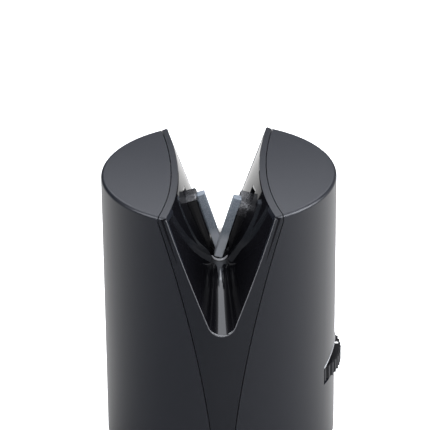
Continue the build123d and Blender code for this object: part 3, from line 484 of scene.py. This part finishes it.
def rounded_outline(corners, steps):
    """A closed outline through corners, each replaced by a parabola that starts and ends at the
    corner's cut length along its two sides."""
    spots = np.array([corner[:2] for corner in corners])
    cuts = np.array([corner[2] for corner in corners])[:, None]
    before = np.roll(spots, 1, 0) - spots
    after = np.roll(spots, -1, 0) - spots
    start = spots + before / np.linalg.norm(before, axis=1, keepdims=True) * cuts
    end = spots + after / np.linalg.norm(after, axis=1, keepdims=True) * cuts
    share = np.linspace(0, 1, steps)[None, :, None]
    curve = ((1 - share) ** 2 * start[:, None] + 2 * share * (1 - share) * spots[:, None]
             + share ** 2 * end[:, None])
    return curve.reshape(-1, 2)


def rounded_across(outline, sides, rounds, steps, middle_rows=12):
    """Carries an outline across an arm: rows are places across it, and near each side the outline
    is moved inwards along its normals by a quarter circle of that side's round."""
    turn = np.linspace(0, np.pi / 2, steps)
    middle = np.linspace(sides[0] + rounds[0], sides[1] - rounds[1], middle_rows + 2)[1:-1]
    across = np.concatenate([sides[0] + rounds[0] * (1 - np.cos(turn)), middle,
                             sides[1] - rounds[1] * (1 - np.cos(turn[::-1]))])
    inset = np.concatenate([rounds[0] * (1 - np.sin(turn)), 0 * middle,
                            rounds[1] * (1 - np.sin(turn[::-1]))])
    along = np.roll(outline, -1, 0) - np.roll(outline, 1, 0)
    normal = np.stack([along[:, 1], -along[:, 0]], 1)
    normal /= np.linalg.norm(normal, axis=1, keepdims=True)
    inward = np.sign(((outline.mean(0) - outline) * normal).sum(1).sum())
    moved = outline[None] + inward * inset[:, None, None] * normal[None]
    return across, moved


def place_on_arm(across, layer, height, side):
    """World points of an arm's own places: across it, towards its layer and up along it, turned
    by the lean about the pivot."""
    x = side * (across * math.cos(lean) + height * math.sin(lean))
    y = -side * layer
    z = pivot_height - across * math.sin(lean) + height * math.cos(lean)
    return np.stack(np.broadcast_arrays(x, y, z), -1)


def grid_mesh(name, points, wrap_columns=False, keep=None):
    """A mesh of four-sided faces over a grid of points; keep is a mask of the faces to make."""
    rows, columns = points.shape[:2]
    index = np.arange(rows * columns).reshape(rows, columns)
    if wrap_columns:
        index = np.concatenate([index, index[:, :1]], 1)
    faces = np.stack([index[:-1, :-1], index[:-1, 1:], index[1:, 1:], index[1:, :-1]], -1)
    faces = faces.reshape(-1, 4) if keep is None else faces[keep]
    mesh = bpy.data.meshes.new(name)
    mesh.from_pydata(points.reshape(-1, 3).tolist(), [], faces.tolist())
    mesh.update()
    return mesh


def plate_mesh(name, outer, inner, layers, side):
    """A flat plate between two layers: walls along its outline and its hole, and both ends, which
    are the walls' open edges in one layer, filled."""
    shape = bmesh.new()
    for loop in (outer, inner):
        rows = [place_on_arm(loop[:, 0], layer, loop[:, 1], side) for layer in layers]
        wall = grid_mesh(f"{name}_wall", np.stack(rows), wrap_columns=True)
        shape.from_mesh(wall)
        bpy.data.meshes.remove(wall)
    for layer in layers:
        rim = [edge for edge in shape.edges if edge.is_boundary
               and max(abs(end.co.y + side * layer) for end in edge.verts) < 1e-6]
        bmesh.ops.triangle_fill(shape, edges=rim, use_beauty=True)
    mesh = bpy.data.meshes.new(name)
    shape.to_mesh(mesh)
    shape.free()
    return mesh


def add_piece(name, mesh, material, body, slot, smooth_angle=40.0):
    """Links a mesh as a piece: doubles merged, normals outwards, one material, riding on a body."""
    shape = bmesh.new()
    shape.from_mesh(mesh)
    bmesh.ops.remove_doubles(shape, verts=shape.verts, dist=1e-7)
    bmesh.ops.dissolve_degenerate(shape, edges=shape.edges, dist=1e-7)
    if not any(edge.is_boundary for edge in shape.edges):
        bmesh.ops.recalc_face_normals(shape, faces=shape.faces)
    shape.to_mesh(mesh)
    shape.free()
    mesh.shade_smooth()
    mesh.set_sharp_from_angle(angle=math.radians(smooth_angle))
    mesh.materials.append(material)
    piece = bpy.data.objects.new(name, mesh)
    bpy.context.scene.collection.objects.link(piece)
    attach(piece, body)
    return piece


def add_tube(name, points, *finish):
    """A piece from a grid whose columns run round a tube: a middle point closes each of its two
    ends. The finish is what add_piece takes after the mesh."""
    first = np.broadcast_to(points[:1].mean(1, keepdims=True), points[:1].shape)
    last = np.broadcast_to(points[-1:].mean(1, keepdims=True), points[-1:].shape)
    closed = np.concatenate([first, points, last], 0)
    return add_piece(name, grid_mesh(name, closed, wrap_columns=True), *finish)


arm_gloss, *_ = moulded("arm_gloss", (0.006, 0.006, 0.007), roughness=0.10, grain_scale=420.0,
                        depth=0.000004, handling=0.05)
outline_runs = []
for corner in plate_outline:
    if corner in eye_arcs:
        bearing = np.radians(np.linspace(*eye_arcs[corner], eye_steps))
        outline_runs.append(eye_radius * np.stack([np.cos(bearing), np.sin(bearing)], 1))
    else:
        outline_runs.append(np.array([corner]))
plate_edge = np.concatenate(outline_runs)
hole_bearing = np.linspace(0, 2 * np.pi, hole_steps, endpoint=False)
hole_edge = pin_hole * np.stack([np.cos(hole_bearing), np.sin(hole_bearing)], 1)
for name, side in (("left", -1), ("right", 1)):
    outline = rounded_outline(grip_corners[name], steps=9)
    places, moved = rounded_across(outline, arm_sides, side_rounds, steps=11)
    inner_share = np.clip((arm_sides[0] + bevel_width - places) / bevel_width, 0, 1)
    foot = grip_foot + (bevel_height - grip_foot) * inner_share
    grip_points = place_on_arm(places[:, None], moved[..., 0],
                               np.maximum(moved[..., 1], foot[:, None]), side)
    grip = add_tube(f"{name}_arm_grip", grip_points, arm_gloss, f"{name}_arm", "arm", arm_crease)
    plate = add_piece(
        f"{name}_arm_plate",
        plate_mesh(f"{name}_arm_plate", plate_edge, hole_edge, plate_layers, side),
        arm_gloss, f"{name}_arm", "arm", arm_crease)
    for piece in (grip, plate):
        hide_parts(f"{name}_arm")


# The arm caps: grey-black nylon with a coarse spark-eroded grain, with pale cells painted in as its
# glints. Each is a crowned end piece that is snapped over its arm above a slanted seam.
cap_corners = {
    "left": ((-0.0040, 0.03798, 0.00004), (-0.0025, 0.03965, 0.00022), (0.0040, 0.03940, 0.0016),
             (0.0040, 0.03358, 0.00004)),
    "right": ((-0.0040, 0.03588, 0.00004), (-0.0040, 0.03790, 0.0008), (0.0014, 0.03700, 0.0022),
              (0.0040, 0.03400, 0.0014), (0.0040, 0.03138, 0.00004)),
}
# Above its seam each crown falls away towards the arm's outer side. The fall grows over the blend
# and with the square of the place across
cap_seam = {"left": 0.0380, "right": 0.0359}
cap_fall = {"left": 0.0004, "right": 0.0015}
cap_blend = 0.0015
cap_dark = (0.006, 0.006, 0.008)
cap_glint_pale = (0.050, 0.050, 0.054)
cap_glint_scale = 1250.0
cap_glint_share = (0.42, 0.72)
cap_grain, tree, shader, spot = moulded("cap_grain", cap_dark, roughness=0.27, grain_scale=1500.0,
                                        depth=0.00017, handling=0.06, Specular_IOR_Level=0.95)
# Painted glints: pale cells of a noise mixed into the dark colour.
cap_glint_cells = add_node(tree, "ShaderNodeTexNoise", in_Vector=spot, in_Scale=cap_glint_scale,
                     in_Detail=3.0, in_Roughness=0.7)
cap_painted_glint = add_range(tree, cap_glint_cells.outputs["Fac"], *cap_glint_share)
tree.links.new(mix_colours(tree, cap_painted_glint, cap_dark, cap_glint_pale), shader.inputs["Base Color"])
for name, side in (("left", -1), ("right", 1)):
    outline = rounded_outline(cap_corners[name], steps=25)
    places, moved = rounded_across(outline, arm_sides, side_rounds, steps=13)
    above = np.clip((moved[..., 1] - cap_seam[name]) / cap_blend, 0, 1)
    outer = np.clip(places / arm_sides[1], 0, 1)[:, None] ** 2
    moved[..., 1] -= cap_fall[name] * outer * above
    cap = add_tube(f"{name}_cap_crown",
                   place_on_arm(places[:, None], moved[..., 0], moved[..., 1], side),
                   cap_grain, f"{name}_arm", "arm_cap", arm_crease)
    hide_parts(f"{name}_arm_cap")


# The abrasive sticks: steel bars seated in the arms' channels and coated with fine diamond grit,
# bluish grey, each grain catching the light on its own. Their lower ends, where they cross, are
# painted paler, a painted pool of light.
grit_dark = (0.165, 0.19, 0.22)
grit_pale = (0.41, 0.455, 0.51)
grit_lit = (0.52, 0.54, 0.57)
grit_scale = 9000.0
# Heights at which the painted light begins and is full
lit_height = (0.0855, 0.0825)
stick_grit, tree, shader, spot = start_material("stick_grit", grit_dark, Metallic=0.35)
grit = add_node(tree, "ShaderNodeTexVoronoi", in_Vector=spot, in_Scale=grit_scale)
grit_tone = add_node(tree, "ShaderNodeSeparateColor", in_0=grit.outputs["Color"])
grit_rank = add_range(tree, grit_tone.outputs["Red"], low=0.2, high=1.0)
grit_rough = add_range(tree, grit_tone.outputs["Green"], low=0.0, high=1.0, start=0.55, end=0.30)
grit_mix = mix_colours(tree, grit_rank, grit_dark, grit_pale)
# Painted light: the sticks turn paler below a height, on their lower ends.
lit_place = add_node(tree, "ShaderNodeSeparateXYZ", in_0=spot)
painted_light = add_range(tree, lit_place.outputs["Z"], *lit_height)
tree.links.new(mix_colours(tree, painted_light, grit_mix, grit_lit), shader.inputs["Base Color"])
tree.links.new(grit_rough, shader.inputs["Roughness"])
add_bump(tree, shader, grit.outputs["Distance"], depth=0.00003)
dress(stick_grit, "left_stick", "right_stick")


# The V frame: satin dark grey ABS, moulded in one piece. It fills the gap between the two shells
# in front and behind, and two bands across the top join its ends beside the trough.
frame_black, *_ = moulded("frame_black", (0.0070, 0.0080, 0.0115), roughness=0.32,
                          grain_scale=3200.0, depth=0.00001, handling=0.05)
dress(frame_black, "v_frame")


# The liner: high-gloss black ABS, the trough that the blade is drawn through. One smooth wall is
# open where the arms come up through the slot, and keels and screw bosses stand under its root.
body_reach = 0.042
top_height = 0.108
liner_top = 0.10790
liner_reach = 0.04180
liner_wall = 0.0018
skin_lift = 0.00004
# The rim: half its width at the waist, the waist's place, and the edge's bend to each end
rim_half = 0.0145
waist_y = -0.004
rim_bend_front = 0.120
rim_bend_rear = 0.211
# The root's radius and the trough's depth in the middle, what each gains by the round body, and
# how far the middle of a wall bows out
root_radius = 0.0030
root_gain = 0.0022
trough_depth = 0.0330
depth_gain = 0.0112
wall_bow = 0.0009
# The slot: half its length, its upper edge's height at the rear, and its rise to the front
slot_half = 0.0049
slot_height = 0.09963
slot_rise = 0.28
# Shares of the grid: the root ends at root_share of s, the slot at slot_share of s and slot_part
# of t. The root's polish begins at polish_start of s and is full polish_width further in
root_share = 0.3
slot_share = 0.8
slot_part = 0.2
polish_start = 0.27
polish_width = 0.16
keel_foot = 0.046
keel_half = 0.0013
keel_span = (0.0155, 0.0360)
boss_place = 0.021
boss_radius = 0.003
boss_edge = 0.0003
boss_bore = 0.00155
bore_depth = 0.012
keel_crease = 30.0


def trough_section(y, s):
    """Point of the trough's section at a distance y, for s from -1 (left rim) to 1 (right rim).

    The half width at the rim is a parabola of y, narrowest just in front of the middle. Depth and
    root radius grow with the square of y. A wall is the straight line from the rim to its point
    of touch with the root, bowed outwards by a parabola, and the root is an arc between the
    walls. Equal steps of s are equal angles on the root and equal heights on the wall, which
    passes the slot's height, which rises towards the front, at the same s everywhere."""
    share = (y / body_reach) ** 2
    half = rim_half + (y - waist_y) ** 2 / (
        2 * np.where(y < waist_y, rim_bend_front, rim_bend_rear))
    root = root_radius + root_gain * share
    centre = top_height - (trough_depth + depth_gain * share - root)
    depth = top_height - centre
    slope = np.arctan2(half, depth) - np.arcsin(root / np.hypot(half, depth))
    half = half - skin_lift / np.cos(slope)
    root = root - skin_lift
    touch_x = root * np.cos(slope)
    touch_z = centre - root * np.sin(slope)
    along = np.abs(s)
    turn = np.clip(along / root_share, 0, 1) * (np.pi / 2 - slope)
    low = np.clip((along - root_share) / (slot_share - root_share), 0, 1)
    high = np.clip((along - slot_share) / (1 - slot_share), 0, 1)
    slot_top = slot_height + slot_rise * np.clip(slot_half - y, 0, 2 * slot_half)
    rise = (low * (slot_top - touch_z) + high * (liner_top - slot_top)) / (
        top_height - touch_z)
    bulge = 4 * rise * (1 - rise) * wall_bow * (1 - share)
    on_root = along < root_share
    x = np.where(on_root, root * np.sin(turn),
                 touch_x + rise * (half - touch_x) + bulge * np.cos(slope))
    z = np.where(on_root, centre - root * np.cos(turn),
                 touch_z + rise * (top_height - touch_z) - bulge * np.sin(slope))
    return np.sign(s) * x, z


def reach_into_round(t, s, reach):
    """Distance y for t from -1 (front) to 1 (rear): the slot takes the middle slot_part of t, and
    the rest runs in equal steps to the round body, where x and y lie on a circle of the given
    reach. As x depends on y, six rounds settle it."""
    y = t * reach
    inside = np.clip(np.abs(t) / slot_part, 0, 1)
    far = np.clip((np.abs(t) - slot_part) / (1 - slot_part), 0, 1)
    for _ in range(6):
        x, _ = trough_section(y, s)
        edge = np.sqrt(reach ** 2 - x ** 2)
        y = np.sign(t) * (inside * slot_half + far * (edge - slot_half))
    return y


liner_gloss, tree, shader, spot = moulded(
    "liner_gloss", (0.004, 0.004, 0.005), roughness=0.06, grain_scale=240.0, depth=0.0000015,
    handling=0.02, Specular_IOR_Level=0.022, Coat_Roughness=0.08, Coat_IOR=1.87)
polish = add_node(tree, "ShaderNodeAttribute", attribute_name="root_polish")
tree.links.new(polish.outputs["Fac"], shader.inputs["Coat Weight"])

front_t = np.linspace(-1, -slot_part, 56)
slot_t = np.linspace(-slot_part, slot_part, 9)[1:-1]
trough_t = np.concatenate([front_t, slot_t, -front_t[::-1]])
right_s = np.concatenate([np.linspace(0, root_share, 17),
                          np.linspace(root_share, slot_share, 33)[1:],
                          np.linspace(slot_share, 1, 9)[1:]])
trough_s = np.concatenate([-right_s[:0:-1], right_s])
grid_t, grid_s = np.meshgrid(trough_t, trough_s, indexing="ij")
grid_y = reach_into_round(grid_t, grid_s, liner_reach)
grid_x, grid_z = trough_section(grid_y, grid_s)
face_t = (trough_t[:-1] + trough_t[1:]) / 2
face_s = (trough_s[:-1] + trough_s[1:]) / 2
solid_faces = (np.abs(face_t)[:, None] > slot_part) | (np.abs(face_s)[None, :] > slot_share)
liner_mesh = grid_mesh("trough_liner", np.stack([grid_x, grid_y, grid_z], -1), keep=solid_faces)
root_near = np.clip((polish_start - np.abs(grid_s)) / polish_width, 0, 1)
root_polish = liner_mesh.attributes.new("root_polish", "FLOAT", "POINT")
root_polish.data.foreach_set("value", root_near.astype(np.float32).ravel())
liner = add_piece("trough_liner", liner_mesh, liner_gloss, "housing", "liner")
wall = liner.modifiers.new("wall", "SOLIDIFY")
wall.thickness = liner_wall
wall.offset = -1.0
wall.use_even_offset = True

liner_pieces = [liner]
keel_y = np.linspace(*keel_span, 24)[:, None]
keel_x = keel_half * np.array([[-1.0, 1.0, 1.0, -1.0]])
keel_at_foot = np.array([[True, True, False, False]])
boss_turn = np.linspace(0, 2 * np.pi, 48, endpoint=False)[None, :]
for end, end_name in ((-1, "front"), (1, "rear")):
    _, root_z = trough_section(end * keel_y, 0 * keel_y)
    keel_z = np.where(keel_at_foot, keel_foot, root_z - liner_wall / 2)
    keel_points = np.stack(np.broadcast_arrays(keel_x, end * keel_y, keel_z), -1)
    liner_pieces.append(add_tube(f"keel_{end_name}", keel_points, liner_gloss, "housing",
                                 "liner", keel_crease))
    _, root_z = trough_section(np.array(end * boss_place), np.array(0.0))
    boss_top = float(root_z) - liner_wall / 2
    bore_end = keel_foot + bore_depth
    # Rings of radius and height, from the bore's blind end round the foot and up to the root
    boss_rings = np.array([
        (0.0, bore_end), (boss_bore, bore_end), (boss_bore, keel_foot),
        (boss_radius - boss_edge, keel_foot), (boss_radius, keel_foot + boss_edge),
        (boss_radius, boss_top), (0.0, boss_top)])
    ring_radius, ring_height = boss_rings.T[:, :, None]
    boss_points = np.stack(np.broadcast_arrays(
        ring_radius * np.cos(boss_turn), end * boss_place + ring_radius * np.sin(boss_turn),
        ring_height), -1)
    boss_name = f"liner_boss_{end_name}"
    liner_pieces.append(add_piece(boss_name, grid_mesh(boss_name, boss_points, wrap_columns=True),
                                  liner_gloss, "housing", "liner", keel_crease))
for piece in liner_pieces:
    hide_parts("v_liner")


# The V's edges: where the trough's mouth meets the frame, front and rear, the edge is dressed to a
# fine round bead, a little fuller at the rims. Its pale grey colour is a painted highlight, a line
# of light from the left rim down round the root and up to the right rim, with a bright dot at each
# rim where the bead is fuller.
bead_radius = 0.00019
bead_reach = 0.04178
bead_limit = 0.985
corner_gain = 0.00018
corner_width = 0.006
bead_crease = 60.0


def bead_along(line, outward, radius, sides):
    """Rings round a line: each is a circle of the radius in the plane across the line, and starts
    on the side that faces outward."""
    along = np.gradient(line, axis=0)
    along /= np.linalg.norm(along, axis=1, keepdims=True)
    sideways = np.cross(along, outward)
    sideways /= np.linalg.norm(sideways, axis=1, keepdims=True)
    facing = np.cross(sideways, along)
    turn = np.linspace(0, 2 * np.pi, sides, endpoint=False)[None, :, None]
    return line[:, None] + np.reshape(radius, (-1, 1, 1)) * (
        np.cos(turn) * facing[:, None] + np.sin(turn) * sideways[:, None])


bead_painted_highlight, *_ = moulded("edge_bead", (0.11, 0.11, 0.115), roughness=0.22, grain_scale=900.0,
                         depth=0.000001, handling=0.03)
bead_wall = np.linspace(root_share, bead_limit, 60)
bead_s = np.concatenate([-bead_wall[::-1], np.linspace(-root_share, root_share, 41)[1:-1],
                         bead_wall])
corner_near = np.exp(-((bead_limit - np.abs(bead_s)) / corner_width) ** 2)
for end, bead_name in ((-1, "front_edge_bead"), (1, "rear_edge_bead")):
    bead_y = reach_into_round(np.full_like(bead_s, end), bead_s, bead_reach)
    bead_x, bead_z = trough_section(bead_y, bead_s)
    bead_points = bead_along(
        np.stack([bead_x, bead_y, bead_z], 1), np.stack([bead_x, bead_y, 0 * bead_x], 1),
        bead_radius + corner_gain * corner_near, sides=12)
    add_tube(bead_name, bead_points, bead_painted_highlight, "housing", "frame", bead_crease)


# The slot's front lip: moulded with the liner. Where blades enter, the root's edge is dressed to a
# small polished round, fullest in the middle. Its pale grey colour is a painted highlight.
lip_radius = 0.00060
lip_end = 0.02
round_painted_highlight, *_ = moulded("round_painted_highlight", (0.26, 0.26, 0.265), roughness=0.20, grain_scale=600.0,
                        depth=0.000002, handling=0.04, Specular_IOR_Level=0.8)
lip_s = np.linspace(-root_share, root_share, 33)
lip_y = np.full_like(lip_s, -slot_half)
lip_x, lip_z = trough_section(lip_y, lip_s)
lip_size = lip_radius * np.sqrt(1 + lip_end - (lip_s / root_share) ** 2)
lip_points = bead_along(np.stack([lip_x, lip_y, lip_z], 1), np.array([[0.0, 1.0, 0.0]]),
                        lip_size, sides=20)
add_tube("slot_lip", lip_points, round_painted_highlight, "housing", "liner", bead_crease)


# The thumb scoop's upper edge: the shell's wall is dressed to a fine round where the scoop's cone
# comes through it. It has the lip's pale grey colour, a painted highlight above the thumbwheel.
scoop_radius = 0.00036
scoop_wall = 0.04185
scoop_half = 0.0194
# The cone round the wheel's axis: at its foot's reach it has the height scoop_low, and each
# scoop_run nearer to the axis it is scoop_climb higher
scoop_low = 0.03740
scoop_foot_reach = 0.0278
scoop_run = 0.0034
scoop_climb = 0.0044
scoop_y = np.linspace(-scoop_half, scoop_half, 121)
scoop_x = np.sqrt(scoop_wall ** 2 - scoop_y ** 2)
scoop_reach = np.hypot(scoop_x - wheel_x, scoop_y)
scoop_z = scoop_low + scoop_climb * (scoop_foot_reach - scoop_reach) / scoop_run
scoop_points = bead_along(np.stack([scoop_x, scoop_y, scoop_z], 1),
                          np.stack([scoop_x, scoop_y, 0 * scoop_x], 1), scoop_radius, sides=12)
add_tube("scoop_edge", scoop_points, round_painted_highlight, "housing", "casing", bead_crease)


# The shells: two half casings of satin black ABS with a fine even grain, held by screws from
# below. The right one is cut for the thumbwheel.
shell_black, *_ = moulded("shell_black", (0.0105, 0.0115, 0.0155), roughness=0.32,
                          grain_scale=3200.0, depth=0.00001, handling=0.05)
dress(shell_black, "left_shell", "right_shell")
